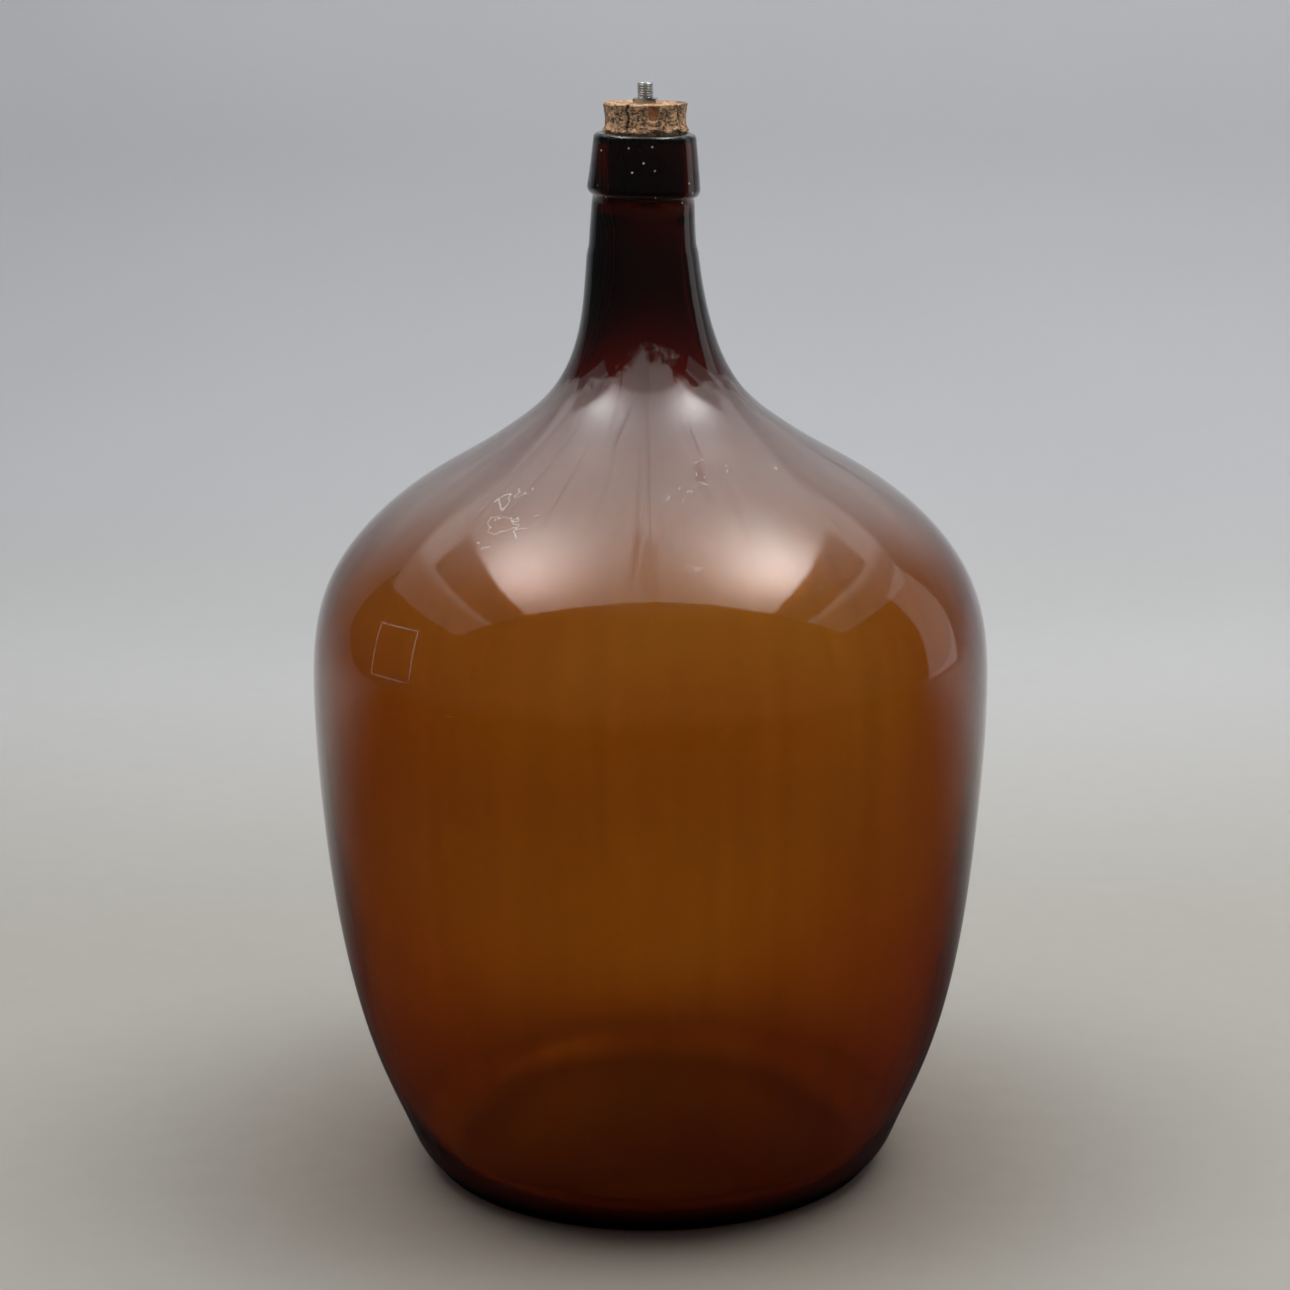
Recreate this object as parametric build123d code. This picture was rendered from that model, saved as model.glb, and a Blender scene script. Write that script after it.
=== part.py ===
from build123d import *
import os
from math import cos, hypot, radians, sin, sqrt

# A large blown glass demijohn, fitted as a lamp base: a cork holds a threaded lamp tube in its mouth.
# Millimetres, +Z up. The origin is the centre of the base, on the surface it stands on.

# Glass: overall heights
glass_height = 645.0
push_up_height = 18.0
floor_thickness = 7.0
floor_edge_radius = 120.0
floor_edge_height = 9.5

# Glass: the flat ring it rests on, and the round heel above it
ring_inner_radius = 124.0
ring_outer_radius = 131.0
heel_radius = 12.0
heel_sweep = 60.0

# Glass: outer wall from above the heel to the shoulder's cone, then up into the neck,
# as (radius, height, wall thickness). The cone's last station starts the neck.
belly_stations = [
    (146.6, 12.0, 7.5),
    (156.6, 30.0, 5.5),
    (169.8, 60.0, 4.8),
    (190.9, 130.0, 4.5),
    (203.0, 210.0, 4.1),
    (208.5, 300.0, 3.4),
    (199.1, 370.0, 3.2),
    (171.0, 410.0, 3.7),
    (132.2, 440.0, 4.6),
    (90.3, 465.0, 5.5),
]
neck_stations = [
    (59.2, 490.0, 7.5),
    (43.0, 520.0, 11.0),
    (36.6, 549.0, 14.0),
]

# Directions in which the section's curves start and end, and no stretching of them
outward = (1.0, 0.0)
upward = (0.0, 1.0)
cone_flow = (-0.825, 0.565)
neck_flow = (-0.10, 0.995)
unscaled = [1.0, 1.0]

# Glass: the tooled neck, with a slight step, and the collar on it
step_radius = 33.8
step_height = 573.0
neck_low_radius = 32.4
neck_low_height = 579.0
neck_top_radius = 30.7
neck_top_height = 607.5
collar_low_radius = 34.0
collar_low_height = 613.0
collar_top_radius = 30.9
collar_edge_radius = 3.2

# Glass: the thick-walled neck's straight bore, and the tapered mouth above it
neck_bore_radius = 20.0
neck_bore_low_height = 572.0
neck_bore_high_height = 588.0
mouth_top_radius = 24.8
mouth_low_radius = 22.8
mouth_low_height = 600.0
mouth_edge_radius = 1.5

# Cork stopper
cork_gap = 0.35
cork_low_height = 610.0
cork_top_height = 662.5
cork_top_radius = 25.3
cork_waist_radius = 24.2
cork_waist_height = 653.0
cork_edge = 0.8

# Lamp tube, M10 by 1, with a nut at each end of the cork and a washer under it
thread_radius = 5.0
thread_pitch_radius = 4.7
tube_bore_radius = 3.5
tube_length = 75.0
tube_top_height = 674.5
tube_chamfer = 0.5
nut_across_flats = 14.0
nut_thickness = 3.0
nut_chamfer = 0.5
nut_chamfer_run = 1.0
upper_nut_turn = 20.0
lower_nut_turn = 4.0
washer_radius = 10.0
washer_hole_radius = 5.25
washer_thickness = 2.0

upper_nut_base = cork_top_height
washer_base = cork_low_height - washer_thickness
lower_nut_base = washer_base - nut_thickness
tube_low_height = tube_top_height - tube_length
hexagon_sides = 6


def heel_point(sweep):
    """A point on the round heel, so many degrees up from the resting ring."""
    turn = radians(sweep)
    return ring_outer_radius + heel_radius * sin(turn), heel_radius * (1 - cos(turn))


heel_end = heel_point(heel_sweep)
heel_flow = (cos(radians(heel_sweep)), sin(radians(heel_sweep)))


def moved_in(before, here, after):
    """A station moved into the glass by its wall thickness, square to its neighbours' chord."""
    run = after[0] - before[0]
    rise = after[1] - before[1]
    length = hypot(run, rise)
    wall = here[2]
    return here[0] - wall * rise / length, here[1] + wall * run / length


def inner_stations():
    """The inner outline's points, from just above the floor to the neck."""
    stations = belly_stations + neck_stations
    framed = [heel_end] + stations + [(step_radius, step_height)]
    return [moved_in(*three) for three in zip(framed, stations, framed[2:])]


def mouth_radius(height):
    """The tapered mouth's radius at a height."""
    share = (height - mouth_low_height) / (glass_height - mouth_low_height)
    return mouth_low_radius + share * (mouth_top_radius - mouth_low_radius)


def glass_body():
    """The one blown piece: push-up base, belly, neck, collar and mouth, as half a section revolved."""
    step = (step_radius, step_height)
    belly_points = [heel_end] + [(r, z) for r, z, _ in belly_stations]
    neck_points = [belly_points[-1]] + [(r, z) for r, z, _ in neck_stations] + [step]
    inner_points = inner_stations()
    bore_low = (neck_bore_radius, neck_bore_low_height)
    bore_high = (neck_bore_radius, neck_bore_high_height)
    inner_belly = inner_points[: len(belly_stations)]
    inner_neck = inner_points[len(belly_stations) - 1 :] + [bore_low]
    mouth_low = (mouth_low_radius, mouth_low_height)
    floor_centre = (0, push_up_height + floor_thickness)
    floor_edge = (floor_edge_radius, floor_edge_height)
    lip_inner = (mouth_radius(glass_height) + mouth_edge_radius, glass_height)
    mouth_top = (mouth_radius(glass_height - mouth_edge_radius), glass_height - mouth_edge_radius)
    neck_top = (neck_top_radius, neck_top_height)
    collar_low = (collar_low_radius, collar_low_height)
    collar_top = (collar_top_radius, glass_height - collar_edge_radius)
    down_the_collar = (collar_low[0] - collar_top[0], collar_low[1] - collar_top[1])
    lip_outer = (collar_top_radius - collar_edge_radius, glass_height)

    with BuildPart() as body:
        with BuildSketch(Plane.XZ):
            with BuildLine():
                TangentArc((0, push_up_height), (ring_inner_radius, 0), tangent=outward)
                Line((ring_inner_radius, 0), (ring_outer_radius, 0))
                ThreePointArc((ring_outer_radius, 0), heel_point(heel_sweep / 2), heel_end)
                Spline(belly_points, tangents=[heel_flow, cone_flow], tangent_scalars=unscaled)
                Spline(neck_points, tangents=[cone_flow, neck_flow], tangent_scalars=unscaled)
                Line(step, (neck_low_radius, neck_low_height))
                Line((neck_low_radius, neck_low_height), neck_top)
                TangentArc(collar_low, neck_top, tangent=down_the_collar)
                Line(collar_low, collar_top)
                RadiusArc(collar_top, lip_outer, -collar_edge_radius)
                Line(lip_outer, lip_inner)
                RadiusArc(lip_inner, mouth_top, -mouth_edge_radius)
                Line(mouth_top, mouth_low)
                Spline([bore_high, mouth_low], tangents=[upward, upward], tangent_scalars=unscaled)
                Line(bore_low, bore_high)
                Spline(inner_neck, tangents=[cone_flow, upward], tangent_scalars=unscaled)
                Spline(
                    [floor_edge] + inner_belly,
                    tangents=[outward, cone_flow],
                    tangent_scalars=unscaled,
                )
                TangentArc(floor_centre, floor_edge, tangent=outward)
                Line(floor_centre, (0, push_up_height))
            make_face()
        revolve(axis=Axis.Z)
    return body.part


def cork_stopper():
    """The tapered cork, slightly waisted above the lip, bored through for the tube."""
    lip_radius = mouth_radius(glass_height) - cork_gap
    low_radius = mouth_radius(cork_low_height) - cork_gap
    with BuildPart() as cork:
        with BuildSketch(Plane.XZ):
            with BuildLine():
                Polyline(
                    (lip_radius, glass_height),
                    (low_radius, cork_low_height + cork_edge),
                    (low_radius - cork_edge, cork_low_height),
                    (thread_radius, cork_low_height),
                    (thread_radius, cork_top_height),
                    (cork_top_radius - cork_edge, cork_top_height),
                    (cork_top_radius, cork_top_height - cork_edge),
                )
                ThreePointArc(
                    (cork_top_radius, cork_top_height - cork_edge),
                    (cork_waist_radius, cork_waist_height),
                    (lip_radius, glass_height),
                )
            make_face()
        revolve(axis=Axis.Z)
    return cork.part


def threaded_tube():
    """The hollow lamp tube. Its threads are drawn at full radius, and at pitch radius inside the nuts."""
    upper_grip = (upper_nut_base, upper_nut_base + nut_thickness)
    lower_grip = (lower_nut_base, lower_nut_base + nut_thickness)
    with BuildPart() as tube:
        with BuildSketch(Plane.XZ):
            with BuildLine():
                Polyline(
                    (tube_bore_radius, tube_low_height),
                    (thread_radius - tube_chamfer, tube_low_height),
                    (thread_radius, tube_low_height + tube_chamfer),
                    (thread_radius, lower_grip[0]),
                    (thread_pitch_radius, lower_grip[0]),
                    (thread_pitch_radius, lower_grip[1]),
                    (thread_radius, lower_grip[1]),
                    (thread_radius, upper_grip[0]),
                    (thread_pitch_radius, upper_grip[0]),
                    (thread_pitch_radius, upper_grip[1]),
                    (thread_radius, upper_grip[1]),
                    (thread_radius, tube_top_height - tube_chamfer),
                    (thread_radius - tube_chamfer, tube_top_height),
                    (tube_bore_radius, tube_top_height),
                    close=True,
                )
            make_face()
        revolve(axis=Axis.Z)
    return tube.part


def hexagon_nut(base_height, turn):
    """A thin lamp nut with its corners turned down at both faces."""
    corner_radius = nut_across_flats / sqrt(3)
    with BuildPart() as nut:
        with BuildSketch(Plane.XY.offset(base_height)):
            RegularPolygon(corner_radius, hexagon_sides, rotation=turn)
            Circle(thread_pitch_radius, mode=Mode.SUBTRACT)
        extrude(amount=nut_thickness)
        with BuildSketch(Plane.XZ):
            with BuildLine():
                Polyline(
                    (0, base_height),
                    (corner_radius - nut_chamfer_run, base_height),
                    (corner_radius, base_height + nut_chamfer),
                    (corner_radius, base_height + nut_thickness - nut_chamfer),
                    (corner_radius - nut_chamfer_run, base_height + nut_thickness),
                    (0, base_height + nut_thickness),
                    close=True,
                )
            make_face()
        revolve(axis=Axis.Z, mode=Mode.INTERSECT)
    return nut.part


def lower_washer():
    """The plain washer that spreads the lower nut's pull over the cork's underside."""
    with BuildPart() as washer:
        with BuildSketch(Plane.XY.offset(washer_base)):
            Circle(washer_radius)
            Circle(washer_hole_radius, mode=Mode.SUBTRACT)
        extrude(amount=washer_thickness)
    return washer.part


parts = {
    "glass_body": glass_body(),
    "cork_stopper": cork_stopper(),
    "threaded_tube": threaded_tube(),
    "upper_nut": hexagon_nut(upper_nut_base, upper_nut_turn),
    "lower_washer": lower_washer(),
    "lower_nut": hexagon_nut(lower_nut_base, lower_nut_turn),
}

os.makedirs("parts", exist_ok=True)
for name, part in parts.items():
    export_step(part, f"parts/{name}.step")
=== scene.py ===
import math

import bpy
import numpy as np
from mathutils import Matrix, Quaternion, Vector, noise


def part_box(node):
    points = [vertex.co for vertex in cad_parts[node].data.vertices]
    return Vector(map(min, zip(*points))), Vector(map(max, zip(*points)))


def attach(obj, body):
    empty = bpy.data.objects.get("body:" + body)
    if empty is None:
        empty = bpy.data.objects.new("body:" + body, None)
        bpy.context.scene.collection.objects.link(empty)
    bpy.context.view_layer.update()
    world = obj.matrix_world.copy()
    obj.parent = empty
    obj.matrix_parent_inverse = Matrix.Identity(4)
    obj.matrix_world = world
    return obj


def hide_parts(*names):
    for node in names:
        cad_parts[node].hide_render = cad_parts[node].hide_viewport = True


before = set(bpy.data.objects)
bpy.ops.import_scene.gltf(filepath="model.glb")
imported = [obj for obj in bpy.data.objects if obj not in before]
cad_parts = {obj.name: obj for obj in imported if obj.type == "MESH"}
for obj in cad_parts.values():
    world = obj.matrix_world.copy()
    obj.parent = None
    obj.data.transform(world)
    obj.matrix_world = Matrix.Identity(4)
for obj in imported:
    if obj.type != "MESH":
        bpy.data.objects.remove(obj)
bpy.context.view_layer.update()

MM = 0.001

# The glass outline, as the part draws it: (radius, height, wall thickness) in millimetres.
BELLY = [
    (146.6, 12.0, 7.5),
    (156.6, 30.0, 5.5),
    (169.8, 60.0, 4.8),
    (190.9, 130.0, 4.5),
    (203.0, 210.0, 4.1),
    (208.5, 300.0, 3.4),
    (199.1, 370.0, 3.2),
    (171.0, 410.0, 3.7),
    (132.2, 440.0, 4.6),
    (90.3, 465.0, 5.5),
]
NECK = [
    (59.2, 490.0, 7.5),
    (43.0, 520.0, 11.0),
    (36.6, 549.0, 14.0),
]
OUTWARD = (1, 0)
UPWARD = (0, 1)
CONE_FLOW = (-0.825, 0.565)
NECK_FLOW = (-0.10, 0.995)
PUSH_UP = 18.0
FLOOR = 7.0
FLOOR_EDGE = (120.0, 9.5)
RING = (124.0, 131.0)
HEEL_RADIUS = 12.0
HEEL_SWEEP = 60.0
STEP = (33.8, 573.0)
NECK_LOW = (32.4, 579.0)
NECK_TOP = (30.7, 607.5)
COLLAR_LOW = (34.0, 613.0)
COLLAR_TOP_RADIUS = 30.9
COLLAR_EDGE = 3.2
BORE_LOW = (20.0, 572.0)
BORE_HIGH = (20.0, 588.0)
MOUTH_TOP_RADIUS = 24.8
MOUTH_LOW = (22.8, 600.0)
MOUTH_EDGE = 1.5
GLASS_HEIGHT = 645.0

# The mesh: segments round the axis, and rows along each stretch of the outline.
GLASS_SEGMENTS = 256
BELLY_ROWS_PER_SPAN = 11
NECK_ROWS_PER_SPAN = 9
BORE_ROWS_PER_SPAN = 8
MOUTH_ROWS_PER_SPAN = 6
DOME_ROWS = 16
LEAST_STEP = 0.05
AXIS_RADIUS = 1e-6


# ---------------------------------------------------------------- outlines


def clamped_spline(points, start_flow, end_flow, per_span):
    """A cubic spline through the points, by chord length, with its end directions given."""
    p = np.array(points, float)
    span = np.hypot(*np.diff(p, axis=0).T)
    count = len(p)
    system = np.zeros((count, count))
    right = np.zeros((count, 2))
    system[0, 0] = system[-1, -1] = 1.0
    right[0] = np.array(start_flow) / np.hypot(*start_flow)
    right[-1] = np.array(end_flow) / np.hypot(*end_flow)
    for i in range(1, count - 1):
        before, after = span[i - 1], span[i]
        system[i, i - 1 : i + 2] = after, 2 * (before + after), before
        right[i] = 3 * (
            (p[i] - p[i - 1]) * after / before + (p[i + 1] - p[i]) * before / after
        )
    slope = np.linalg.solve(system, right)
    out = []
    for i in range(count - 1):
        t = np.linspace(0, 1, per_span, endpoint=False)[:, None]
        h = span[i]
        out.append(
            (1 + 2 * t) * (1 - t) ** 2 * p[i]
            + t * (1 - t) ** 2 * h * slope[i]
            + t**2 * (3 - 2 * t) * p[i + 1]
            + t**2 * (t - 1) * h * slope[i + 1]
        )
    return np.vstack(out + [p[-1:]])


def arc(centre, radius, start_degrees, end_degrees, count):
    """Points along a circular arc in the section plane."""
    turn = np.radians(np.linspace(start_degrees, end_degrees, count))
    return np.c_[centre[0] + radius * np.cos(turn), centre[1] + radius * np.sin(turn)]


def dome(apex, edge, count):
    """A spherical cap's section, from its apex on the axis out to its edge."""
    drop = apex - edge[1]
    radius = (edge[0] ** 2 + drop**2) / (2 * drop)
    reach = math.degrees(math.asin(edge[0] / radius))
    return arc((0, apex - radius), radius, 90, 90 - reach, count)


def line(start, end, count):
    """Points along a straight stretch."""
    return np.linspace(start, end, count)


def moved_in(before, here, after):
    """A station moved into the glass by its wall thickness, square to its neighbours' chord."""
    run = after[0] - before[0]
    rise = after[1] - before[1]
    length = math.hypot(run, rise)
    return here[0] - here[2] * rise / length, here[1] + here[2] * run / length


def tangent_arc(start, end, flow, count):
    """The arc that leaves start along flow and ends at end."""
    s, e = np.array(start, float), np.array(end, float)
    f = np.array(flow, float) / np.hypot(*flow)
    side = np.array([-f[1], f[0]])
    chord = e - s
    radius = (chord @ chord) / (2 * (chord @ side))
    centre = s + side * radius
    begin = math.atan2(*(s - centre)[::-1])
    finish = math.atan2(*(e - centre)[::-1])
    if radius > 0 and finish < begin:
        finish += 2 * math.pi
    if radius < 0 and finish > begin:
        finish -= 2 * math.pi
    return arc(centre, abs(radius), math.degrees(begin), math.degrees(finish), count)


def glass_outline():
    """The section of the glass from the underside's centre, out, up, over the lip and down inside.

    Returns the points in metres and, for each, 0 outside and 1 inside the bottle.
    """
    turn = math.radians(HEEL_SWEEP)
    heel_end = (RING[1] + HEEL_RADIUS * math.sin(turn), HEEL_RADIUS * (1 - math.cos(turn)))
    heel_flow = (math.cos(turn), math.sin(turn))
    taper = (MOUTH_TOP_RADIUS - MOUTH_LOW[0]) / (GLASS_HEIGHT - MOUTH_LOW[1])
    mouth_top = (MOUTH_TOP_RADIUS - taper * MOUTH_EDGE, GLASS_HEIGHT - MOUTH_EDGE)
    stations = BELLY + NECK
    framed = [heel_end] + stations + [STEP]
    inner = [moved_in(*three) for three in zip(framed, stations, framed[2:])]
    inner_belly = inner[: len(BELLY)]
    inner_neck = inner[len(BELLY) - 1 :] + [BORE_LOW]
    outer_belly = [heel_end] + [s[:2] for s in BELLY]
    outer_neck = [BELLY[-1][:2]] + [s[:2] for s in NECK] + [STEP]
    collar_top = (COLLAR_TOP_RADIUS, GLASS_HEIGHT - COLLAR_EDGE)
    down_the_collar = (COLLAR_LOW[0] - collar_top[0], COLLAR_LOW[1] - collar_top[1])
    outside = [
        dome(PUSH_UP, (RING[0], 0), DOME_ROWS),
        line((RING[0], 0), (RING[1], 0), 3),
        arc((RING[1], HEEL_RADIUS), HEEL_RADIUS, -90, HEEL_SWEEP - 90, 7),
        clamped_spline(outer_belly, heel_flow, CONE_FLOW, BELLY_ROWS_PER_SPAN),
        clamped_spline(outer_neck, CONE_FLOW, NECK_FLOW, NECK_ROWS_PER_SPAN),
        line(STEP, NECK_LOW, 3),
        line(NECK_LOW, NECK_TOP, 7),
        tangent_arc(COLLAR_LOW, NECK_TOP, down_the_collar, 10)[::-1],
        line(COLLAR_LOW, collar_top, 8),
        arc((COLLAR_TOP_RADIUS - COLLAR_EDGE, collar_top[1]), COLLAR_EDGE, 0, 90, 7),
    ]
    mouth_edge_centre = (MOUTH_TOP_RADIUS + MOUTH_EDGE, GLASS_HEIGHT - MOUTH_EDGE)
    inside = [
        arc(mouth_edge_centre, MOUTH_EDGE, 90, 180, 6),
        line(mouth_top, MOUTH_LOW, 9),
        clamped_spline([BORE_HIGH, MOUTH_LOW], UPWARD, UPWARD, MOUTH_ROWS_PER_SPAN)[::-1],
        line(BORE_HIGH, BORE_LOW, 4),
        clamped_spline(inner_neck, CONE_FLOW, UPWARD, BORE_ROWS_PER_SPAN)[::-1],
        clamped_spline([FLOOR_EDGE] + inner_belly, OUTWARD, CONE_FLOW, BELLY_ROWS_PER_SPAN)[::-1],
        dome(PUSH_UP + FLOOR, FLOOR_EDGE, DOME_ROWS)[::-1],
    ]
    points, within = [], []
    for part, flag in [(p, 0.0) for p in outside] + [(p, 1.0) for p in inside]:
        for point in part:
            if not points or np.hypot(*(point - points[-1])) > LEAST_STEP:
                points.append(point)
                within.append(flag)
    return np.array(points) * MM, np.array(within)


# ---------------------------------------------------------------- meshes


def new_object(name, data):
    """A new object in the scene, from a mesh, light or camera."""
    made = bpy.data.objects.new(name, data)
    bpy.context.scene.collection.objects.link(made)
    return made


def smooth_mesh(name, verts, faces):
    """A smooth-shaded mesh object."""
    mesh = bpy.data.meshes.new(name)
    mesh.from_pydata(verts, [], faces)
    mesh.polygons.foreach_set("use_smooth", [True] * len(mesh.polygons))
    mesh.update()
    return new_object(name, mesh)


def mark(piece, name, values):
    """Stores a number from 0 to 1 at each point of a piece, for its material."""
    attribute = piece.data.attributes.new(name, "FLOAT", "POINT")
    attribute.data.foreach_set("value", np.array(values, np.float32))


def lathe(name, outline, segments, bend):
    """Revolves an outline about Z. Points on the axis become poles. bend moves the rings' points."""
    turn = np.linspace(0, 2 * math.pi, segments, endpoint=False)
    verts, rings = [], []
    for k, (radius, height) in enumerate(outline):
        if radius < AXIS_RADIUS:
            ring = np.array([[0.0, 0.0, height]])
        else:
            ring = np.c_[radius * np.cos(turn), radius * np.sin(turn), np.full(segments, height)]
        ring = bend(ring, k)
        rings.append(range(len(verts), len(verts) + len(ring)))
        verts.extend(ring.tolist())
    faces = []
    pairs = list(zip(rings, rings[1:]))
    if len(rings[0]) > 1 and len(rings[-1]) > 1:
        pairs.append((rings[-1], rings[0]))
    for low, high in pairs:
        for j in range(segments):
            n = (j + 1) % segments
            if len(low) == 1:
                faces.append((low[0], high[n], high[j]))
            elif len(high) == 1:
                faces.append((low[j], low[n], high[0]))
            else:
                faces.append((low[j], low[n], high[n], high[j]))
    return smooth_mesh(name, verts, faces)


def bell(x, centre, width):
    """A smooth hump of height 1 around centre; width is its standard deviation."""
    return np.exp(-0.5 * ((x - centre) / width) ** 2)


def ramp(x, low, high):
    """Rises smoothly from 0 at low to 1 at high."""
    t = np.clip((x - low) / (high - low), 0, 1)
    return t * t * (3 - 2 * t)


def ripple(points, size, seed):
    """Slow three-dimensional noise at each point, about -1 to 1."""
    shift = Vector((seed, 2.7 * seed, -1.3 * seed))
    return np.array([noise.noise(Vector(p) / size + shift) for p in points])


# Hand-blown departures from a true turned shape, in metres: (size, height, seed) of each wave,
# the inner surface's own seed, and the radii and heights where the waves fade in.
WAVES = [(0.16, 0.0009, 3.0), (0.055, 0.00016, 9.0)]
INNER_SEED = 5.0
WAVY_RADII = (0.032, 0.09)
WAVY_HEIGHTS = (0.004, 0.06)
PRESSED_IN = 0.0004  # keeps the outer waves inside the solid's box
NECK_BOW = 0.0024
BOW_HEIGHT, BOW_SPREAD = 0.578, 0.034
GROOVE_TILT, GROOVE_HEIGHT, GROOVE_SPREAD = 0.050, 0.609, 0.006
LIP_TILT = 0.028
LIP_TILT_HEIGHTS = (0.622, 0.640)


def blown(ring, k):
    """The hand-blown departures from a true turned shape: waviness, a bowed neck, a tilted collar."""
    x, z = ring[:, 0], ring[:, 2]
    radius = np.hypot(ring[:, 0], ring[:, 1])
    out = ring.copy()
    inside = glass_flags[k]
    push = -PRESSED_IN * (1 - inside)
    for size, height, seed in WAVES:
        push = push + ripple(ring, size, seed + INNER_SEED * inside) * height
    push = push * ramp(radius, *WAVY_RADII) * ramp(z, *WAVY_HEIGHTS)
    scale = 1 + push / np.maximum(radius, MM)
    out[:, 0] *= scale
    out[:, 1] *= scale
    if not inside:
        out[:, 0] -= NECK_BOW * bell(z, BOW_HEIGHT, BOW_SPREAD)
        out[:, 2] -= x * GROOVE_TILT * bell(z, GROOVE_HEIGHT, GROOVE_SPREAD)
        out[:, 2] -= x * LIP_TILT * ramp(z, *LIP_TILT_HEIGHTS)
    return out


glass_points, glass_flags = glass_outline()
glass = lathe("demijohn_glass", glass_points, GLASS_SEGMENTS, blown)
on_axis = glass_points[:, 0] < AXIS_RADIUS
mark(glass, "inside", np.repeat(glass_flags, np.where(on_axis, 1, GLASS_SEGMENTS)))
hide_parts("glass_body")
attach(glass, "bottle")


# ---------------------------------------------------------------- cork

# Millimetres and degrees. Angles are counted from the front, to the right seen from above.
CORK_LOW = 610.0
CORK_TOP = 662.5
CORK_SEGMENTS = 420
CORK_SIDE = [(25.7, 645.9), (24.75, 648.0), (24.2, 653.0), (24.6, 658.0), (25.25, 661.6)]
CORK_WIDEST = 25.9
HOLE_RADIUS = 5.02
FRONT = -math.pi / 2

# Gaps in the torn skirt that covers the lip: (angle, height, spread).
SKIRT_GAPS = [(14, 2.3, 6.0), (-57, 1.3, 4.0), (47, 1.9, 5.0), (150, 1.6, 8.0)]
SKIRT_RADIUS = 24.0

# The squarish chip: its middle, its half width and height, and how deep it is.
CHIP_ANGLE, CHIP_HALF_ANGLE = 11.5, 8.4
CHIP_HEIGHT, CHIP_HALF_HEIGHT = 658.6, 6.3
CHIP_DEPTH = 1.8

# The cracks, as (angle, spread), and where the two short ones end.
LONG_CRACK, RIGHT_CRACK, LEFT_CRACK = (-26, 1.3), (55, 1.2), (-55, 0.9)
RIGHT_CRACK_ENDS, LEFT_CRACK_ENDS = (650, 654), (656, 653)
RIGHT_CRACK_LEAN = 1.2
CRACK_DEPTH = 1.5

# The bump on the cork's top: its middle, height and spread.
LUMP = (11.5, -2.0)
LUMP_HEIGHT, LUMP_SPREAD = 1.1, 1.8

# How the cork's surface is carved: (amount, size, seed) of each grain, then pits, crumbs and wear.
GRAINS = [(0.16, 1.1, 2.0), (0.26, 3.4, 5.0), (0.10, 0.5, 1.0)]
PIT_DEPTH, PIT_SIZE, PIT_SEED = 1.15, 1.7, 11.0
CRUMB_HEIGHT, CRUMB_SIZE, CRUMB_SEED = 1.1, 0.8, 15.0
TOP_WEAR, TOP_PITS, TOP_SLOPE = 0.35, 0.6, 0.04


def around(angle, centre_degrees):
    """Degrees from a place so many degrees to the right of the front, seen from above."""
    away = angle - FRONT - math.radians(centre_degrees)
    return np.degrees(np.arctan2(np.sin(away), np.cos(away)))


def torn_edge(angle):
    """How far the cork's torn skirt stands above the lip, in millimetres, all the way round."""
    circle = np.c_[np.cos(angle), np.sin(angle), np.zeros_like(angle)]
    rough = np.abs(ripple(circle, 0.17, 4.0)) + 0.8 * np.abs(ripple(circle, 0.055, 8.0))
    gaps = sum(height * bell(around(angle, place), 0, spread) for place, height, spread in SKIRT_GAPS)
    return 0.2 + 1.2 * rough + gaps


def chip(angle, z):
    """1 inside the squarish chip under the cork's top edge, 0 outside it."""
    across = np.abs(around(angle, CHIP_ANGLE)) / CHIP_HALF_ANGLE
    along = np.abs(z - CHIP_HEIGHT) / CHIP_HALF_HEIGHT
    return 1 - ramp((across**4 + along**4) ** 0.25, 0.84, 1.02)


def crack(angle, z):
    """1 in the cork's meandering crack and its two shorter ones, 0 elsewhere."""
    places = np.c_[25 * np.cos(angle), 25 * np.sin(angle), z]
    bend = 3.4 * ripple(places, 4.0, 6.0) + 1.5 * ripple(places, 1.2, 3.0)
    lean = RIGHT_CRACK_LEAN * (z - 655)
    long_one = bell(around(angle, LONG_CRACK[0]) + bend, 0, LONG_CRACK[1])
    right_one = bell(around(angle, RIGHT_CRACK[0]) + bend + lean, 0, RIGHT_CRACK[1])
    left_one = bell(around(angle, LEFT_CRACK[0]) - bend, 0, LEFT_CRACK[1])
    short_ones = 0.8 * right_one * ramp(z, *RIGHT_CRACK_ENDS) + 0.7 * left_one * ramp(z, *LEFT_CRACK_ENDS)
    return np.clip(long_one + short_ones, 0, 1)


def cork_outline():
    """The cork's section as a closed loop, up the side, over the top and down the tube's hole."""
    return np.vstack([
        line((HOLE_RADIUS, CORK_LOW), (21.9, CORK_LOW), 12),
        line((22.7, CORK_LOW + 0.8), (24.3, 643.6), 60),
        line((24.32, 644.4), (24.3, 645.6), 3),
        line((24.9, 645.45), (25.75, 645.4), 4),
        clamped_spline(CORK_SIDE, (-0.5, 1.0), (0.25, 1.0), 17),
        arc((24.55, 661.8), 0.7, 25, 90, 4),
        line((24.0, CORK_TOP), (HOLE_RADIUS, CORK_TOP), 60),
        line((HOLE_RADIUS, CORK_TOP - 1.0), (HOLE_RADIUS, CORK_LOW + 1.0), 6),
    ])


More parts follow.
